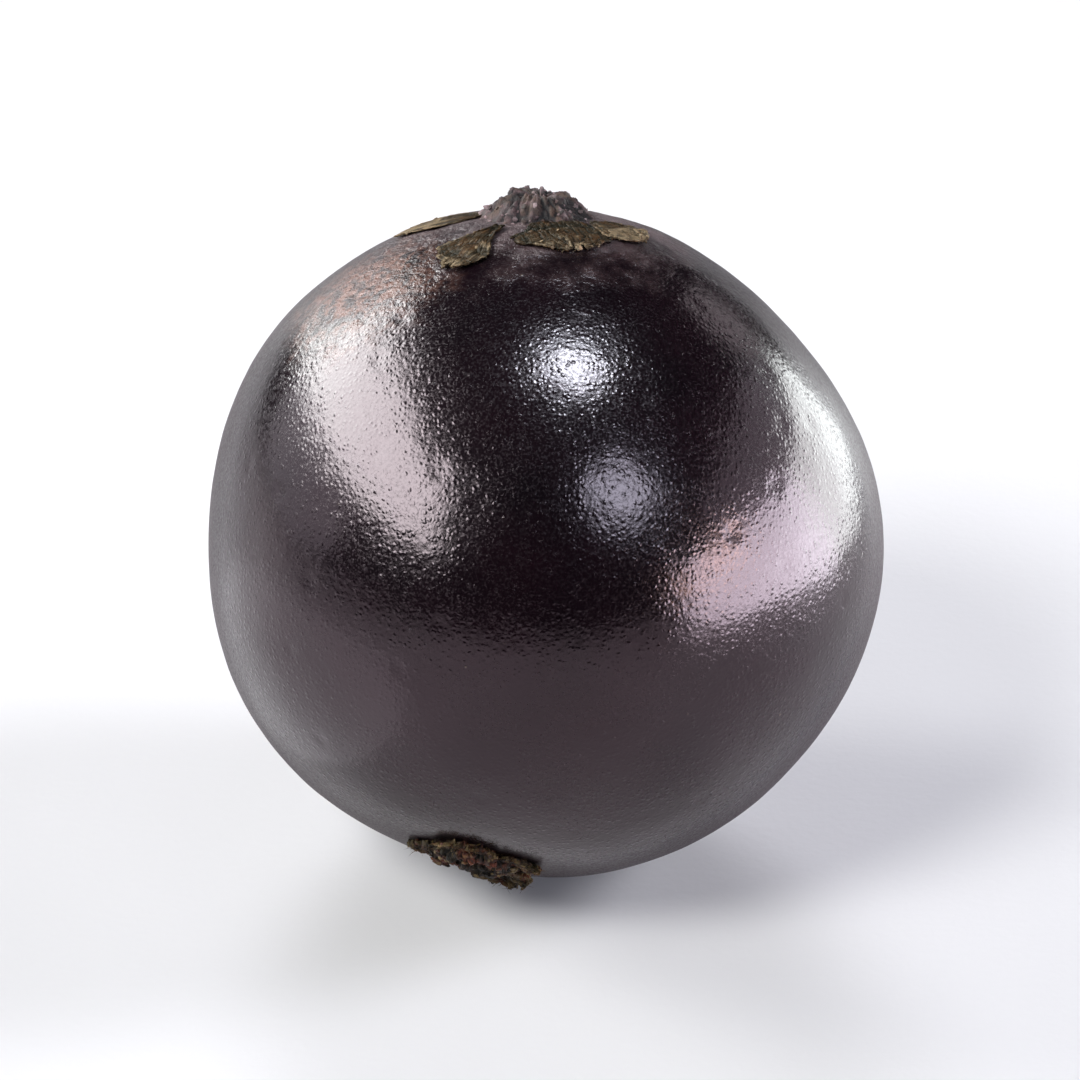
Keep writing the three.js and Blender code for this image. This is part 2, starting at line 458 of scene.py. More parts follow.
def skin_colour(shader, place, masks):
    """Near-black skin first, then mauve, tan, scar and pores, each laid on by its mask."""
    stem, scar, rubbed, pores = masks
    clouds = blend_number(noise_at(place, 260.0, 4.0, 0.6), -0.6, 1.5)
    streaks = noise_at(place, 900.0, 5.0, 0.7)
    patches = blend_number(streaks, -0.3, 1.3)
    corky = falling(noise_at(place, 2.4 * PER_MM, 5.0, 0.7), 0.40, 0.60)
    scar_colour = mix(blend_number(streaks, -1.0, 2.0), SCAR_DARK, SCAR_BROWN)
    colour = mix(clouds, NEAR_BLACK, MAROON)
    # round the stub the mauve is partly the skin's own dull colour and partly a painted sheen of light on its
    # wrinkles
    colour = mix(times(stem, patches), colour, MAUVE_AND_SHEEN)
    colour = mix(times(rubbed, corky), colour, TAN)
    colour = mix(scar, colour, scar_colour)
    colour = mix(times(pores, 0.8), colour, PALE_PORE)
    put(shader.inputs["Base Color"], colour)


# %% Skin material
PEBBLE_DEPTH = 0.0105 * MM
WORN_DEPTH = 0.2 * MM
PORE_DEPTH = 0.01 * MM


def skin_material():
    material, tree, shader, place = new_material("skin")
    stem, scar, rubbed = [worn_spot(place, *spot) for spot in WORN_SPOTS.values()]
    worn = maths("MAXIMUM", maths("MAXIMUM", stem, scar), times(rubbed, 0.5))
    pores = use(SPECKS, {"Position": place, "Scale": 1500.0, "Size": 0.09, "Share": 0.12})
    skin_colour(shader, place, (stem, scar, rubbed, pores))

    grain = {"Position": place, "Cell Scale": 5600.0, "Pebble Size": 0.65, "Wave Share": 1.2}
    normal = bump(use(PEBBLE_GRAIN, grain), PEBBLE_DEPTH)
    rough_height = noise_at(place, 3200.0, 4.0, 0.7)
    normal = bump(times(rough_height, worn), WORN_DEPTH, Normal=normal)
    put(shader.inputs["Normal"], bump(pores, PORE_DEPTH, Normal=normal))

    roughness = blend_number(noise_at(place, 420.0, 3.0, 0.6), 0.10, 0.19)
    dull = falling(noise_at(place, 11 * PER_MM), 0.38, 0.56)
    edge_on = falling(add(tree, "ShaderNodeLayerWeight").outputs["Facing"], 0.92, 0.60)
    hazes = [times(mask, share) for mask, share in ((dull, 0.13), (worn, 0.26), (edge_on, 0.34))]
    put(shader.inputs["Roughness"], plus(roughness, *hazes))
    shader.inputs["IOR"].default_value = 1.55
    shader.inputs["Specular Tint"].default_value = (1.0, 0.76, 0.85, 1.0)
    return material


SKIN = skin_material()

# %% [markdown]
# ## The berry
# The berry follows a rule, so Geometry Nodes make it. A ball of even triangles comes first: unlike a globe of
# longitudes and latitudes, it has no pinched poles. Each point is then moved out to where the rule puts the
# skin. Two layers of noise add the soft unevenness of a ripe fruit, the skin puckers a little round the stub,
# scattered points press small pits into it, and everything below the table's height is pushed up to it,
# which makes the resting spot.

# %% The rule as a group
def swell_group():
    inputs = {"Direction": ARROW, "Towards": ARROW, "Height": 0.0, "Breadth": 0.5}
    group, given, output = new_shape("Swell", inputs, "Height", NUMBER)
    apart = maths("ARCCOSINE", vector_maths("DOT_PRODUCT", given["Direction"], given["Towards"]))
    share = maths("DIVIDE", apart, given["Breadth"])
    fall = maths("EXPONENT", times(share, share, -1.0))
    return give(output, times(fall, given["Height"]))


def skin_radius_group(swell_of):
    """The same rule as skin_radius above, as one node."""
    group, given, output = new_shape("Skin radius", {"Direction": ARROW}, "Radius", NUMBER)
    distance = BERRY_RADIUS
    for centre, height, breadth in SWELLS:
        swell = {"Towards": centre, "Height": height, "Breadth": math.radians(breadth)}
        distance = plus(distance, use(swell_of, {"Direction": given["Direction"], **swell}))
    return give(output, distance)


SKIN_RADIUS = skin_radius_group(swell_group())


# %% The berry's tree
def berry_tree():
    inputs = {
        "Middle Height": BERRY_RADIUS,
        "Unevenness": 0.05 * MM,
        "Pit Depth": 0.03 * MM,
        "Pit Reach": 0.04,
        "Pucker Depth": 0.24 * MM,
        "Seed": 3,
        "Finish": FINISH,
    }
    tree, given, output = new_shape("Berry", inputs)
    ball = add(tree, "GeometryNodeMeshIcoSphere", {"Radius": 1.0, "Subdivisions": 7}).outputs["Mesh"]
    towards = vector_maths("NORMALIZE", here(tree))
    distance = use(SKIN_RADIUS, {"Direction": towards})
    for scale, share in ((2.6, 1.0), (8.0, 0.35)):
        wave = centred_noise(towards, scale, detail=1.0)
        distance = plus(distance, times(wave, given["Unevenness"], share * 2))
    puckered = falling(vector_maths("DISTANCE", towards, STEM_END), 0.16, 0.5)
    pucker = times(centred_noise(towards, 12.0, detail=3.0), given["Pucker Depth"], puckered)
    distance = minus(plus(distance, pucker), pits(given, ball, towards))

    x, y, z = parts(scaled(towards, distance))
    rested = maths("SMOOTH_MAX", plus(z, given["Middle Height"]), 0.0, 0.05 * MM)
    skin = moved(ball, Position=vector_of(x, y, rested))
    return finish_solid(output, shaded(skin), given["Finish"])


def pits(given, ball, towards):
    """How deep the small pits are pressed in. They lie round points that keep apart from each other."""
    inputs = {"Mesh": ball, "Distance Min": 0.13, "Density Max": 9.0, "Seed": given["Seed"]}
    spots = after("GeometryNodeDistributePointsOnFaces", inputs, "Points", distribute_method="POISSON")
    inputs = {0: spots, "Source Position": towards}
    nearest = after("GeometryNodeProximity", inputs, "Distance", target_element="POINTS")
    return times(falling(nearest, 0.0, given["Pit Reach"]), given["Pit Depth"])


# %% Make the berry
def settle(piece, slot, *nodes):
    """The piece moves with the fruit and its plain node is hidden. The slot is not used."""
    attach(piece, "root")
    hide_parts(*nodes)


berry = grow("berry", berry_tree(), {"Middle Height": middle_height, "Finish": SKIN})
settle(berry, "skin", "fruit")
print("berry, in millimetres:", [round(side / MM, 2) for side in berry.dimensions])
print("its plain node:", [round(side / MM, 2) for side in fruit_high - fruit_low])

# %% [markdown]
# ## Laying things on the skin
# The stub, the scales and the ring all grow on the berry's curved skin. The easy way is to shape each one on
# a flat drawing board first, with its own sideways, forward and upward direction, and then to wrap the board
# onto the skin like a map onto a globe. One group does that wrapping: the flat distance from the middle of
# the board becomes the same distance along the skin, and the height stays the height above the skin.

# %% The drawing boards at both ends
def board_at(outwards, ahead):
    """The sideways, forward and outward directions of the flat board at one end of the berry."""
    forward = (ahead - outwards * ahead.dot(outwards)).normalized()
    return {"Side": forward.cross(outwards), "Forward": forward, "Outwards": outwards}


STEM_BOARD = board_at(STEM_END, Vector((0, -1, 0)))
BLOSSOM_BOARD = board_at(BLOSSOM_END, Vector((0, 0, 1)))
BOARD_INPUTS = {title: ARROW for title in STEM_BOARD}
print("angle between the two ends:", round(math.degrees(STEM_END.angle(BLOSSOM_END))), "degrees")


# %% Wrap a board onto the skin
def lay_on_skin_group():
    inputs = {"Flat": ARROW, **BOARD_INPUTS, "Middle Height": middle_height}
    group, given, output = new_shape("Lay on the skin", inputs, "Position", ARROW)
    x, y, z = parts(given["Flat"])
    on_board = vector_of(x, y)
    angle = maths("DIVIDE", vector_maths("LENGTH", on_board), BERRY_RADIUS)
    ray = scaled(vector_maths("NORMALIZE", on_board), maths("SINE", angle))
    sideways, forward, _ = parts(ray)
    towards = scaled(given["Outwards"], maths("COSINE", angle))
    towards = vector_maths("ADD", towards, scaled(given["Side"], sideways))
    towards = vector_maths("ADD", towards, scaled(given["Forward"], forward))
    radius = use(SKIN_RADIUS, {"Direction": towards})
    reach = scaled(towards, plus(radius, z))
    lift = vector_of(z=given["Middle Height"])
    return give(output, vector_maths("ADD", reach, lift))


LAY_ON_SKIN = lay_on_skin_group()


def keep(geometry, name, value, data_type="FLOAT", domain="POINT"):
    """Stores a value on the geometry under a name, for the finish to read."""
    inputs = {"Geometry": geometry, "Name": name, "Value": value}
    return after("GeometryNodeStoreNamedAttribute", inputs, data_type=data_type, domain=domain)


def wrap_on_skin(mesh, given, flat, weave):
    """Keeps the weave for the finish, whose Y is the way the fibres run, and lays the mesh on the skin."""
    kept = keep(mesh, "weave", weave, "FLOAT_VECTOR")
    board = {title: given[title] for title in BOARD_INPUTS}
    return shaded(moved(kept, Position=use(LAY_ON_SKIN, {"Flat": flat, **board})))


# %% [markdown]
# ## Crumbs and fibres
# Dry plant remains are never clean: they crumble and they fray. To model each crumb by hand would take days,
# so two scatters serve every dry piece. Crumbs are small stone shapes, sunk halfway into the surface in
# random sizes and turns. Fibres are thin bent hairs with a pointed end. Both have few faces, because there
# are hundreds of them, and each keeps a random number, so that the finish can give it its own shade.

# %% Helpers for scattering
def random_number(tree, low, high, seed):
    return add(tree, "FunctionNodeRandomValue", {2: low, 3: high, "Seed": seed}, data_type="FLOAT").outputs[1]


def turned_by(turn, by):
    return after("FunctionNodeRotateRotation", {"Rotation": turn, "Rotate By": by}, rotation_space="LOCAL")


def random_turn(turn, tilt, seed):
    """The given turn, then a free spin about the outward axis and a random tilt."""
    inputs = {0: (-tilt, -tilt, -math.pi), 1: (tilt, tilt, math.pi), "Seed": seed}
    angles = add(turn.id_data, "FunctionNodeRandomValue", inputs, data_type="FLOAT_VECTOR").outputs[0]
    return turned_by(turn, after("FunctionNodeEulerToRotation", {0: angles}))


def seeded_noise(place, scale, seed, detail=2.0, roughness=0.5):
    """Centred noise that looks different for each seed."""
    inputs = {"Vector": place, "W": seed, "Scale": scale, "Detail": detail, "Roughness": roughness}
    return minus(after("ShaderNodeTexNoise", inputs, noise_dimensions="4D"), 0.5)


def join(*geometries):
    """Several geometries as one."""
    node = add(geometries[0].id_data, "GeometryNodeJoinGeometry")
    for geometry in reversed(geometries):
        put(node.inputs[0], geometry)
    return node.outputs[0]


# %% One scatter for both
def scatter_inputs(density, **sizes):
    return {"Geometry": SOLID, "Per Square Millimetre": density, **sizes, "Seed": 1}


def scatter_spots(given):
    """Random points on the surface."""
    density = times(given["Per Square Millimetre"], PER_MM**2)
    inputs = {"Mesh": given["Geometry"], "Density": density, "Seed": given["Seed"]}
    return add(density.id_data, "GeometryNodeDistributePointsOnFaces", inputs).outputs


def scatter(given, output, shade_and_tone, placing):
    """Puts shapes on the spots, each with its own random tone, and joins them to the surface."""
    placed = after("GeometryNodeInstanceOnPoints", placing)
    marked = keep(placed, "shade_and_tone", shade_and_tone, domain="INSTANCE")
    return give(output, join(given["Geometry"], realized(marked)))


# %% Scattered crumbs
def stone(group, dent_seed):
    """A dented stone with flat faces, as an instance that a scatter can pick."""
    ball = add(group, "GeometryNodeMeshIcoSphere", {"Radius": 1.0, "Subdivisions": 1}).outputs[0]
    dent = seeded_noise(here(group), 1.6, dent_seed, detail=4.0, roughness=0.8)
    rough = scaled(here(group), plus(times(dent, 3.0), 1.0))
    faceted = shaded(moved(ball, Position=rough), smooth=False)
    return after("GeometryNodeGeometryToInstance", {0: faceted})


def crumbs_group():
    sizes = {"Size": 0.1 * MM, "Flatness": 0.6}
    group, given, output = new_shape("Scattered crumbs", scatter_inputs(10.0, **sizes))
    spots = scatter_spots(given)
    size = times(random_number(group, 0.35, 1.3, 11), given["Size"])
    placing = {
        "Points": spots["Points"],
        "Instance": join(*[stone(group, shape * 7.0) for shape in range(3)]),
        "Pick Instance": True,
        "Rotation": random_turn(spots["Rotation"], 0.6, 12),
        "Scale": vector_of(size, size, times(size, given["Flatness"])),
    }
    return scatter(given, output, random_number(group, 0.15, 1.0, 13), placing)


CRUMBS = crumbs_group()


# %% Scattered fibres
def hair(group):
    """A thin cone that bends sideways towards its tip."""
    segments = {"Vertices": 6, "Side Segments": 5}
    shape = {"Radius Top": 0.15, "Radius Bottom": 1.0, "Depth": 1.0}
    cone = add(group, "GeometryNodeMeshCone", {**segments, **shape}).outputs["Mesh"]
    x, y, z = parts(here(group))
    return moved(cone, Position=vector_of(plus(x, times(z, z, 6.0)), y, z))


def fibres_group():
    sizes = {"Length": 0.6 * MM, "Thickness": 0.04 * MM, "Lean": 1.2}
    group, given, output = new_shape("Scattered fibres", scatter_inputs(5.0, **sizes))
    spots = scatter_spots(given)
    length = times(random_number(group, 0.35, 1.0, 21), given["Length"])
    thick = times(random_number(group, 0.5, 1.0, 22), given["Thickness"])
    spun = random_turn(spots["Rotation"], 0.25, 23)
    lean = after("FunctionNodeAxisAngleToRotation", {"Axis": (1, 0, 0), "Angle": given["Lean"]})
    placing = {
        "Points": spots["Points"],
        "Instance": hair(group),
        "Rotation": turned_by(spun, lean),
        "Scale": vector_of(thick, thick, length),
    }
    return scatter(given, output, random_number(group, 0.3, 1.0, 24), placing)


FIBRES = fibres_group()


# %% Crumbly relief
def crumble_group():
    """Lumps with cracks between them, as a height that swings about nought."""
    inputs = {"Position": ARROW, "Lumps Per Millimetre": 2.0, "Seed": 0.0}
    group, given, output = new_shape("Crumble", inputs, "Height", NUMBER)
    position, seed = given["Position"], given["Seed"]
    scale = times(given["Lumps Per Millimetre"], PER_MM)

    def cells(feature, **spread):
        inputs = {"Vector": position, "W": seed, **spread}
        return after("ShaderNodeTexVoronoi", inputs, "Distance", voronoi_dimensions="4D", feature=feature)

    lumps = cells("SMOOTH_F1", Scale=scale, Smoothness=0.35)
    edges = cells("DISTANCE_TO_EDGE", Scale=times(scale, 1.7))
    fine = seeded_noise(position, scale, seed, detail=5.0, roughness=0.7)
    lump = times(minus(0.5, lumps), 0.7)
    crack = times(falling(edges, 0.0, 0.14), -0.35)
    return give(output, plus(lump, fine, crack, 0.1))


CRUMBLE = crumble_group()


def crumbled(mesh, given, height, relief_shade_share, relief_shade_start):
    """The mesh pushed in and out by the height, which is also kept to paint shade in hollows and light on
    lumps.
    """
    outwards = add(mesh.id_data, "GeometryNodeInputNormal").outputs[0]
    push = scaled(outwards, times(height, given["Relief"]))
    kept = keep(mesh, "shade_and_tone", plus(times(height, relief_shade_share), relief_shade_start))
    return moved(kept, Offset=push)


def strewn(geometry, seed, density, size, flatness):
    """The geometry with crumbs all over it."""
    crumbs = {"Per Square Millimetre": density, "Size": size, "Flatness": flatness, "Seed": seed}
    return use(CRUMBS, {"Geometry": geometry, **crumbs})


# %% [markdown]
# ## The finish of the dry remains
# Bark, papery scale and calyx crust are all dead plant matter, and differ mostly in colour. Their colour
# follows
# their relief: hollows are painted dark as shade and high places pale as a painted highlight, and fibres run
# the long way of each piece. Three separate materials would repeat each other, so one recipe serves all, with
# four colours each, a share for how strongly the fibres show, and a roughness.

# %% One recipe for the dry finishes
FIBRE_DEPTH = 0.02 * MM
DRY_GRAIN_DEPTH = 0.03 * MM


def dry_material(name, dark, main, pale, warm, fibre_share, rough):
    material, tree, shader, place = new_material(name)
    shade_and_tone = add(tree, "ShaderNodeAttribute", attribute_name="shade_and_tone").outputs["Fac"]
    weave = add(tree, "ShaderNodeAttribute", attribute_name="weave").outputs["Vector"]
    fibres = {"Position": weave, "Along": (0, 1, 0), "Scale": 9 * PER_MM, "Stretch": 10.0}
    streak = blend_number(use(DRY_FIBRES, fibres), -1.2, 2.2)
    clouds = noise_at(place, 2.2 * PER_MM, 5.0, 0.65)
    grains = noise_at(place, 14 * PER_MM, 3.0, 0.7)
    warmth = falling(noise_at(place, 1.3 * PER_MM, 3.0), 0.42, 0.6)
    # on bark, scale and crust the kept number follows the relief, so low places are painted dark as shade and
    # high ones pale as a painted highlight; on crumbs and hairs it is a random tone
    low = falling(shade_and_tone, 0.12, 0.42)
    high = minus(1.0, falling(shade_and_tone, 0.55, 0.95))
    colour = mix(warmth, warm, main)
    colour = mix(times(falling(clouds, 0.38, 0.62), 0.6), colour, dark)
    colour = mix(times(falling(streak, 0.15, 0.6), fibre_share), colour, dark)
    colour = mix(low, colour, dark)
    colour = mix(times(high, blend_number(grains, -0.1, 1.3)), colour, pale)
    put(shader.inputs["Base Color"], colour)
    put(shader.inputs["Roughness"], blend_number(clouds, rough, rough + 0.25))
    shader.inputs["Specular IOR Level"].default_value = 0.25
    normal = bump(streak, FIBRE_DEPTH * fibre_share)
    put(shader.inputs["Normal"], bump(grains, DRY_GRAIN_DEPTH, Normal=normal))
    return material


# %% Dry materials
BARK = dry_material(
    "bark",
    dark=(0.012, 0.0055, 0.007),
    main=(0.068, 0.032, 0.036),
    pale=(0.30, 0.19, 0.205),
    warm=(0.060, 0.028, 0.020),
    fibre_share=0.6,
    rough=0.5,
)
BRACT = dry_material(
    "dry_bract",
    dark=(0.016, 0.010, 0.005),
    main=(0.074, 0.038, 0.018),
    pale=(0.39, 0.255, 0.160),
    warm=(0.085, 0.032, 0.010),
    fibre_share=0.9,
    rough=0.35,
)
CALYX = dry_material(
    "dry_calyx",
    dark=(0.006, 0.004, 0.003),
    main=(0.026, 0.016, 0.009),
    pale=(0.20, 0.135, 0.060),
    warm=(0.110, 0.022, 0.010),
    fibre_share=0.7,
    rough=0.4,
)

# %% [markdown]
# ## The woody stub
# A jaboticaba has hardly any stalk: it sits on the trunk, and what comes away with it is a low mound of bark
# with a shallow scar on top. It could be sculpted, but noise gives the same ragged bark at any size. A plain
# cone with many rings is the start. Crumbly relief pushes its surface in and out, one shoulder is raised and
# the scar is pressed in, and crumbs of bark are scattered all over it.

# %% Stub
def stub_tree():
    inputs = {
        **BOARD_INPUTS,
        "Radius": 2.4 * MM,
        "Top Radius": 1.0 * MM,
        "Height": 0.85 * MM,
        "Sunk": 0.2 * MM,
        "Relief": 0.5 * MM,
        "Scar Radius": 0.6 * MM,
        "Scar Depth": 0.25 * MM,
        "Seed": 5,
        "Finish": FINISH,
    }
    tree, given, output = new_shape("Stub", inputs)
    seed = given["Seed"]
    rings = {"Vertices": 132, "Side Segments": 26, "Fill Segments": 30}
    depth = plus(given["Height"], given["Sunk"])
    sizes = {"Radius Top": given["Top Radius"], "Radius Bottom": given["Radius"], "Depth": depth}
    cone = after("GeometryNodeMeshCone", {**rings, **sizes})
    place = here(tree)
    x, y, z = parts(place)
    on_board = vector_of(x, y)
    outwards = scaled(vector_maths("NORMALIZE", on_board), 1.4 * MM)
    along_ribs = vector_maths("ADD", scaled(place, 0.4), outwards)
    ribs = seeded_noise(along_ribs, 1.6 * PER_MM, seed, 5.0, 0.7)
    lumps = use(CRUMBLE, {"Position": along_ribs, "Lumps Per Millimetre": 1.3, "Seed": seed})
    height = plus(times(ribs, 0.6), times(lumps, 0.8))
    # the relief also sets the colour: hollows are painted dark as shade and lumps pale as a painted highlight
    crumbly = crumbled(cone, given, height, 1.7, 0.42)

    scar_edge = times(given["Scar Radius"], 1.4)
    scar = falling(vector_maths("LENGTH", on_board), 0.0, scar_edge)
    shoulder = times(x, z, 0.10 * PER_MM)
    top = minus(plus(z, shoulder), times(scar, given["Scar Depth"]))
    flat = vector_of(x, y, minus(top, given["Sunk"]))
    laid = wrap_on_skin(crumbly, given, flat, weave=vector_of(x, z, y))
    crumbed = strewn(laid, seed, density=7.0, size=0.1 * MM, flatness=0.25)
    return finish_solid(output, crumbed, given["Finish"])


stub = grow("woody_stub", stub_tree(), {**STEM_BOARD, "Finish": BARK})
settle(stub, "bark", "stem_stub")

# %% [markdown]
# ## The papery scales
# Round the stub lie four bracts, and round the blossom end the dry tips of four sepals. All are the same
# kind of thing: a thin leaf-shaped sheet, fibrous along its length, torn at its tip and curled off the skin.
# Eight sheets cut by hand would all need mending when one size changes. So one tree draws them on the flat
# board, and each scale is that tree with its own measures and seed.

# %% A scale's outline and folds
SCALE_TIP = 0.2  # how wide the root and the tip are, as a share of the widest place


def scale_outline(given, across, along, board):
    """Where each point lies before the scale is turned: leaf-shaped, ragged at its sides, torn at its tip."""
    belly = maths("SINE", times(maths("POWER", along, given["Belly"]), math.pi))
    leaf = maths("MULTIPLY_ADD", belly, 1 - SCALE_TIP, SCALE_TIP)
    ragged = times(seeded_noise(board, 2.4, given["Seed"], 5.0, 0.65), given["Tatter"], 1.6)
    half_width = times(given["Width"], 0.5, leaf, plus(ragged, 1.0))
    tear = plus(seeded_noise(vector_of(across), 3.2, given["Seed"], 6.0, 0.75), 0.35)
    torn = times(maths("POWER", along, 2.0), tear, given["Tatter"])
    y = maths("MULTIPLY_ADD", minus(along, torn), given["Length"], given["Start"])
    return times(across, half_width), y


def scale_relief(given, across, along):
    """Fine fibres and broad folds, which both swing about nought."""
    stretched = vector_of(times(across, 9.0), along)
    folded = vector_of(across, times(along, 4.5))
    fibres = seeded_noise(stretched, 1.6, given["Seed"], 4.0, 0.6)
    return fibres, seeded_noise(folded, 1.3, given["Seed"], 4.0, 0.6)


def scale_lift(given, across, along, fibres, folds):
    """The height above the skin: wrinkles, a tip that curls up and raised sides."""
    wrinkles = times(plus(folds, times(fibres, 0.25)), given["Wrinkle"])
    curl = times(maths("POWER", along, 2.0), given["Curl"])
    rim = times(maths("POWER", maths("ABSOLUTE", across), 3.0), given["Curl"], 0.5)
    return plus(wrinkles, curl, rim, 0.03 * MM)


def turned_on_board(given, x, y, lift):
    """The scale turned about the middle of the board, with its height."""
    cosine, sine = maths("COSINE", given["Turn"]), maths("SINE", given["Turn"])
    turned_x = plus(times(x, cosine), times(y, sine))
    turned_y = minus(times(y, cosine), times(x, sine))
    return vector_of(turned_x, turned_y, lift)


# %% A scale's thickness, crumbs and hairs
def eaten(given, sheet, board, edge):
    """The sheet without the faces that have rotted away, most of them near its edge."""
    rotten = plus(seeded_noise(board, 5.0, given["Seed"], 4.0, 0.6), times(edge, 0.25))
    rotten = maths("GREATER_THAN", times(rotten, given["Tatter"]), 0.16)
    return after("GeometryNodeDeleteGeometry", {"Geometry": sheet, "Selection": rotten}, domain="FACE")


def thickened(given, sheet, edge):
    """A closed solid from the sheet, thinner at its edge."""
    thin = times(given["Thickness"], minus(1.0, times(edge, 0.7)))
    inputs = {"Mesh": sheet, "Offset Scale": thin, "Individual": False}
    raised = after("GeometryNodeExtrudeMesh", inputs, mode="FACES")
    under = after("GeometryNodeFlipFaces", {0: sheet})
    return after("GeometryNodeMergeByDistance", {"Geometry": join(raised, under), "Distance": 1e-6})


def frayed(given, solid):
    """The solid with crumbs and hairs on it."""
    seed = plus(given["Seed"], 1.0)
    crumbed = strewn(solid, seed, given["Crumbs Per Square Millimetre"], size=0.08 * MM, flatness=0.3)
    hairs = {"Length": 0.5 * MM, "Thickness": 0.018 * MM, "Lean": 1.45, "Seed": seed}
    density = given["Fibres Per Square Millimetre"]
    hairy = use(FIBRES, {"Geometry": solid, "Per Square Millimetre": density, **hairs})
    return join(crumbed, hairy)


# %% Scale
def scale_tree():
    inputs = {
        **BOARD_INPUTS,
        "Turn": 0.0,
        "Start": 2.0 * MM,
        "Length": 2.0 * MM,
        "Width": 2.0 * MM,
        "Thickness": 0.1 * MM,
        "Curl": 0.3 * MM,
        "Belly": 0.8,
        "Tatter": 0.5,
        "Wrinkle": 0.3 * MM,
        "Bleached": 0.0,
        "Crumbs Per Square Millimetre": 1.0,
        "Fibres Per Square Millimetre": 0.6,
        "Seed": 0.0,
        "Finish": FINISH,
    }
    tree, given, output = new_shape("Papery scale", inputs)
    grid = {"Size X": 2.0, "Size Y": 1.0, "Vertices X": 64, "Vertices Y": 84}
    sheet = add(tree, "GeometryNodeMeshGrid", grid).outputs[0]
    across, middle_to_tip, _ = parts(here(tree))
    along = plus(middle_to_tip, 0.5)
    board = vector_of(across, along)
    x, y = scale_outline(given, across, along, board)
    fibres, folds = scale_relief(given, across, along)
    lift = scale_lift(given, across, along, fibres, folds)

    # the colour follows the folds and fibres: crests are painted pale as a highlight and troughs dark as
    # shade; the root is painted dark as a shadow where it meets the skin, while the thin edge and the
    # bleaching are the scale's own paler tone
    high = plus(times(fibres, 1.2), times(folds, 2.0), 0.45)
    edge = maths("POWER", maths("MAXIMUM", maths("ABSOLUTE", across), along), 12.0)
    root = times(falling(along, 0.0, 0.5), -0.35)
    shade_and_tone = plus(high, times(edge, 0.4), root, given["Bleached"])
    kept = keep(eaten(given, sheet, board, edge), "shade_and_tone", shade_and_tone)
    weave = vector_of(x, y, given["Seed"])
    laid = wrap_on_skin(kept, given, turned_on_board(given, x, y, lift), weave)
    return finish_solid(output, frayed(given, thickened(given, laid, edge)), given["Finish"])


SCALE = scale_tree()

# %% The four bracts
BRACTS = {
    # name: (turn in degrees; start, length, width, thickness, curl and wrinkle in millimetres;
    #        belly, tatter, and how far it has bleached)
    "front": (-17, 1.8, 4.1, 3.7, 0.06, 0.08, 0.38, 0.75, 0.9, -0.05),
    "right": (-57, 2.3, 3.1, 2.2, 0.06, 0.12, 0.30, 1.0, 0.8, 0.28),
    "front_left": (34, 2.6, 4.8, 2.3, 0.06, 0.12, 0.34, 1.9, 0.8, 0.05),
    "left": (90, 2.1, 4.0, 1.8, 0.05, 0.05, 0.12, 0.8, 0.6, 0.25),
}


def make_scale(name, measures, board, **others):
    turn, *lengths, belly, tatter, bleached = measures
    titles = ("Start", "Length", "Width", "Thickness", "Curl", "Wrinkle")
    values = {title: length * MM for title, length in zip(titles, lengths)}
    shape = {"Turn": math.radians(turn), "Belly": belly, "Tatter": tatter, "Bleached": bleached}
    return grow(name, SCALE, {**board, **values, **shape, **others})


for number, (name, measures) in enumerate(BRACTS.items()):
    bract = make_scale(f"{name}_bract", measures, STEM_BOARD, Seed=3.0 + number * 2.7, Finish=BRACT)
    settle(bract, "bract", f"bract_{name}")

# %% [markdown]
# ## The calyx ring
# Where the flower was, the calyx has dried to a dark crusty rim round a small brown scar. A ready-made ring
# shape would do as well, but one circle carried round another lets both sizes stay inputs of the tree. Its
# relief is coarser than that of the bark, and it carries more crumbs.

# %% Ring
def circle(points, radius):
    return after("GeometryNodeCurvePrimitiveCircle", {"Resolution": points, "Radius": radius})


def ring_tree():
    sizes = {"Radius": 1.2 * MM, "Thickness": 0.5 * MM, "Relief": 0.5 * MM}
    tree, given, output = new_shape("Calyx ring", {**BOARD_INPUTS, **sizes, "Seed": 8, "Finish": FINISH})
    path, section = circle(180, given["Radius"]), circle(28, given["Thickness"])
    tube = after("GeometryNodeCurveToMesh", {"Curve": path, "Profile Curve": section})
    place, seed = here(tree), given["Seed"]
    height = use(CRUMBLE, {"Position": place, "Lumps Per Millimetre": 1.9, "Seed": seed})
    # the relief also sets the colour: hollows are painted dark as shade and lumps pale as a painted highlight
    crumbly = crumbled(tube, given, height, 1.2, 0.4)
    laid = wrap_on_skin(crumbly, given, flat=place, weave=place)
    crumbed = strewn(laid, seed, density=14.0, size=0.11 * MM, flatness=0.5)
    return finish_solid(output, crumbed, given["Finish"])


ring = grow("calyx_crust", ring_tree(), {**BLOSSOM_BOARD, "Finish": CALYX})
settle(ring, "calyx", "calyx_ring")

# %% The four sepals
SEPALS = {
    "upper": (0, 1.0, 1.9, 2.6, 0.14, 0.15, 0.40, 0.7, 0.7, 0.1),
    "right": (80, 1.0, 2.1, 2.2, 0.14, 0.15, 0.40, 0.7, 0.8, 0.1),
    "lower": (152, 1.0, 2.2, 2.6, 0.14, 0.35, 0.40, 0.7, 0.7, 0.15),
    "left": (-84, 1.0, 2.0, 2.4, 0.14, 0.10, 0.40, 0.7, 0.8, 0.1),
}
SEPAL_LITTER = {"Crumbs Per Square Millimetre": 8.0, "Fibres Per Square Millimetre": 2.5}

for number, (name, measures) in enumerate(SEPALS.items()):
    litter = {**SEPAL_LITTER, "Seed": 21.0 + number * 3.1}
    sepal = make_scale(f"{name}_sepal", measures, BLOSSOM_BOARD, **litter, Finish=CALYX)
    settle(sepal, "calyx", f"sepal_{name}")

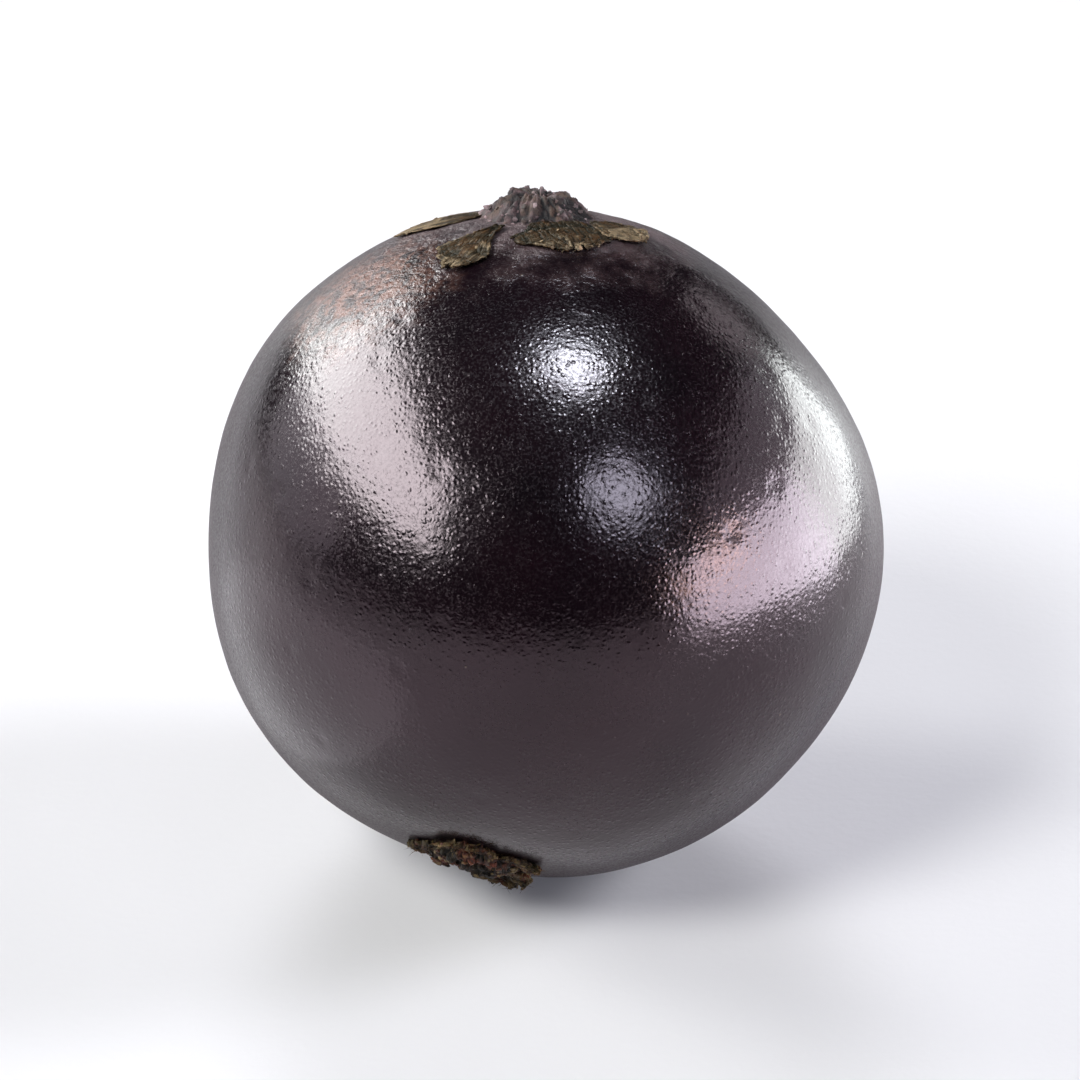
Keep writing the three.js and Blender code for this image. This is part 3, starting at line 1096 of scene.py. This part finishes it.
# %% [markdown]
# ## Floor and light
# The floor is plain and pale. The light is a small studio. On the left stands a big softbox that draws the
# long bright band down that side, with a faint haze under it and a pale card on the table. A small round
# light hangs overhead and a dimmer one in front of it. On the right two low panels stand on the table just
# outside the picture, a neutral one further back and a lilac one nearer, with a warm ember at its end. One
# faint haze stands above them and one far behind. The rest of the room is dark, which is what keeps a black
# fruit black.
#
# A black fruit needs strong lights and a pale floor needs weak ones, so each group of lights is linked either
# to the fruit or to the floor. The floor is lit from low down on four sides, which leaves a small dark shadow
# close to the fruit, and a weak fill that the fruit doesn't block keeps that shadow from going black.

# %% Floor
FLOOR_HALF = 1.5
FLOOR_PALE = (0.71, 0.71, 0.725)
FLOOR_PALER = (0.74, 0.74, 0.75)


def make_floor():
    mesh = bpy.data.meshes.new("floor")
    corners = [(-1, -1), (1, -1), (1, 1), (-1, 1)]
    mesh.from_pydata([(x * FLOOR_HALF, y * FLOOR_HALF, 0) for x, y in corners], [], [(0, 1, 2, 3)])
    floor = bpy.data.objects.new("floor", mesh)
    bpy.context.scene.collection.objects.link(floor)
    material, tree, shader, place = new_material("floor")
    put(shader.inputs["Base Color"], mix(noise_at(place, 25.0, 3.0), FLOOR_PALE, FLOOR_PALER))
    put(shader.inputs["Roughness"], blend_number(noise_at(place, 90.0), 0.5, 0.65))
    put(shader.inputs["Normal"], bump(noise_at(place, 2500.0, 3.0), 0.01 * MM))
    shader.inputs["Specular IOR Level"].default_value = 0.2
    mesh.materials.append(material)
    print("floor:", 2 * FLOOR_HALF, "m square")
    return floor


floor = make_floor()

# %% Where the lights stand
FRUIT_LIGHTS = {
    # name: (where it stands from the fruit, what it faces, tilt, width, height, watts, colour, shape)
    "left softbox": ((-1.0, 0.35, 0.78), "sideways", 6, 2.90, 0.78, 105.0, (0.89, 1.0, 0.95), "RECTANGLE"),
    "left haze": ((-1.0, 0.26, 0.20), "sideways", 0, 1.1, 0.5, 1.7, (0.93, 0.95, 1.0)),
    "left card": ((-0.037, -0.008, -0.011), "up", 0, 0.05, 0.05, 0.0034, (0.94, 0.97, 1.0)),
    "overhead": ((0.25, 0.10, 1.50), "the fruit", 0, 0.42, 0.42, 17.0, (0.76, 0.98, 1.0)),
    "front round": ((0.70, -0.85, 1.03), "the fruit", 0, 0.55, 0.55, 7.8, (0.74, 0.91, 1.0)),
    "right panel": ((0.06, 0.042, 0.002), "sideways", 6, 0.062, 0.032, 0.048, (0.90, 1.0, 0.97), "RECTANGLE"),
    "right haze": ((0.87, 1.28, 0.48), "sideways", 0, 0.9, 0.45, 1.0, (0.98, 0.92, 0.95)),
    "right near haze": ((0.06, 0.008, 0.028), "sideways", 0, 0.08, 0.028, 0.0054, (0.94, 0.92, 1.0)),
    "right glow": ((0.06, -0.019, 0.004), "sideways", -6, 0.07, 0.026, 0.064, (0.90, 0.93, 1.0), "RECTANGLE"),
    "right ember": ((0.06, -0.040, 0.013), "sideways", 8, 0.034, 0.012, 0.011, (1.0, 0.62, 0.30)),
}
FLOOR_FILL = ((0.0, 0.0, 0.20), "the fruit", 0, 0.15, 0.15, 0.09, (0.85, 0.86, 1.0))
FLOOR_LIGHTS = {
    # name: (where it stands from the fruit, watts, colour)
    "floor front": ((-0.50, -0.50, 0.71), 0.46, (1.0, 1.0, 0.97)),
    "floor left": ((-0.85, 0.31, 0.42), 0.40, (1.0, 1.0, 0.97)),
    "floor right": ((0.89, 0.16, 0.42), 0.54, (0.94, 0.94, 1.0)),
    "floor back": ((-0.08, 0.90, 0.42), 0.35, (0.94, 0.94, 1.0)),
}
FLOOR_LIGHT_WIDTH = 0.42
FLOOR_BEAM = math.radians(40)  # narrow beams leave the floor darker away from the fruit


# %% Make a light
def make_light(name, where, faces, tilt, width, height, power, colour, shape="ELLIPSE"):
    data = bpy.data.lights.new(name, "AREA")
    data.shape = shape
    data.size = width
    data.size_y = height
    data.energy = power
    data.color = colour
    light = bpy.data.objects.new(name, data)
    light.location = berry_middle + Vector(where)
    away = {"sideways": Vector((where[0], 0, 0)), "the fruit": Vector(where), "up": Vector((0, 0, -1))}
    turn = away[faces].to_track_quat("Z", "Y").to_matrix() @ Matrix.Rotation(math.radians(tilt), 3, "Z")
    light.rotation_euler = turn.to_euler()
    light.visible_camera = False
    bpy.context.scene.collection.objects.link(light)
    print("light:", name)
    return light


# %% Light the fruit and the floor apart
def linked_to_floor(name, state):
    """A light linking collection: nothing but the floor, or everything but the floor."""
    collection = bpy.data.collections.new(name)
    collection.objects.link(floor)
    collection.collection_objects[0].light_linking.link_state = state
    return collection


only_the_floor = linked_to_floor("only the floor", "INCLUDE")
not_the_floor = linked_to_floor("not the floor", "EXCLUDE")
for name, settings in FRUIT_LIGHTS.items():
    make_light(name, *settings).light_linking.receiver_collection = not_the_floor
fill = make_light("floor fill", *FLOOR_FILL)
fill.light_linking.receiver_collection = only_the_floor
fill.light_linking.blocker_collection = only_the_floor
for name, (where, power, colour) in FLOOR_LIGHTS.items():
    light = make_light(name, where, "the fruit", 0, FLOOR_LIGHT_WIDTH, FLOOR_LIGHT_WIDTH, power, colour)
    light.light_linking.receiver_collection = only_the_floor
    light.data.spread = FLOOR_BEAM


# %% Room
ROOM_DARK = (0.004, 0.004, 0.005)
ROOM_SEEN = (0.8, 0.8, 0.82)


def make_room():
    """A dark room whose far wall looks pale when seen straight on."""
    world = bpy.data.worlds.new("room")
    bpy.context.scene.world = world
    world.use_nodes = True
    tree = world.node_tree
    seen = add(tree, "ShaderNodeLightPath").outputs["Is Camera Ray"]
    put(tree.nodes["Background"].inputs["Color"], mix(seen, ROOM_DARK, ROOM_SEEN))
    print("room:", world.name)


make_room()
bpy.context.scene.view_settings.view_transform = "Standard"
